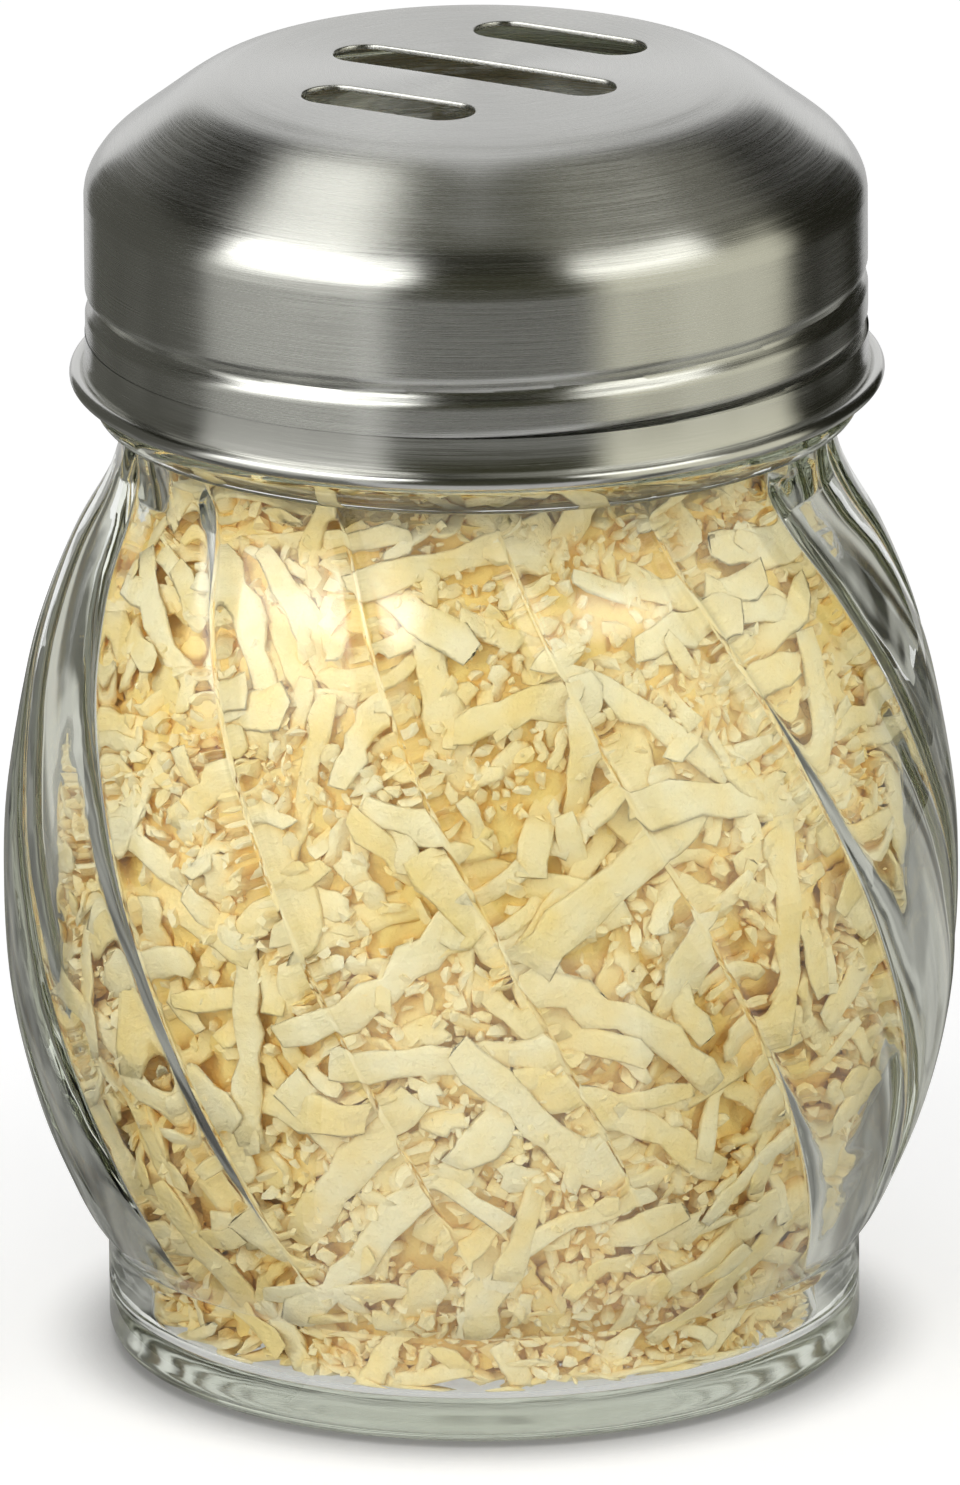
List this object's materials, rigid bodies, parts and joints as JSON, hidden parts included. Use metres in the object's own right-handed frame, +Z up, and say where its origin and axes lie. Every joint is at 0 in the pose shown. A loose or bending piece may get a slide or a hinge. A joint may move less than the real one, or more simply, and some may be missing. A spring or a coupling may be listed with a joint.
{
  "type": "cheese shaker",
  "caption": "Swirled glass jar of grated cheese under a screw-on pressed steel lid with parallel slots for shaking the cheese out.",
  "frame": {"origin": "centre of the ring that the jar stands on, on the table", "axes": "+Z up along the axis of the jar and the lid, +X along the slots of the lid, +Y across them"},
  "size_m": [0.0756, 0.076, 0.1047],
  "materials": {
    "glass": "clear pressed glass, fire polished",
    "steel": "stainless sheet, brushed round the axis",
    "packed_cheese": "moist, crumbly",
    "shredded_cheese": "waxy, slightly moist shreds"
  },
  "bodies": {
    "jar": {"glass_jar": "glass", "cheese_core": "packed_cheese", "long_shreds": "shredded_cheese", "short_shreds": "shredded_cheese", "crumbs": "shredded_cheese"},
    "rim": {"rim_curl": "steel"},
    "lid": {"lid": "steel"}
  },
  "joints": [
    {"name": "lid_rise", "type": "slide", "parent": "jar", "child": "rim", "axis": [0, 0, 1], "range_m": [0, 0.0211]},
    {"name": "lid_turn", "type": "hinge", "parent": "rim", "child": "lid", "pos_m": [0, 0, 0.09], "axis": [0, 0, 1], "range_deg": [0, 1800]}
  ],
  "couplings": [
    {"joint": "lid_rise", "follows": "lid_turn", "m_per_rad": 0.00066845}
  ]
}
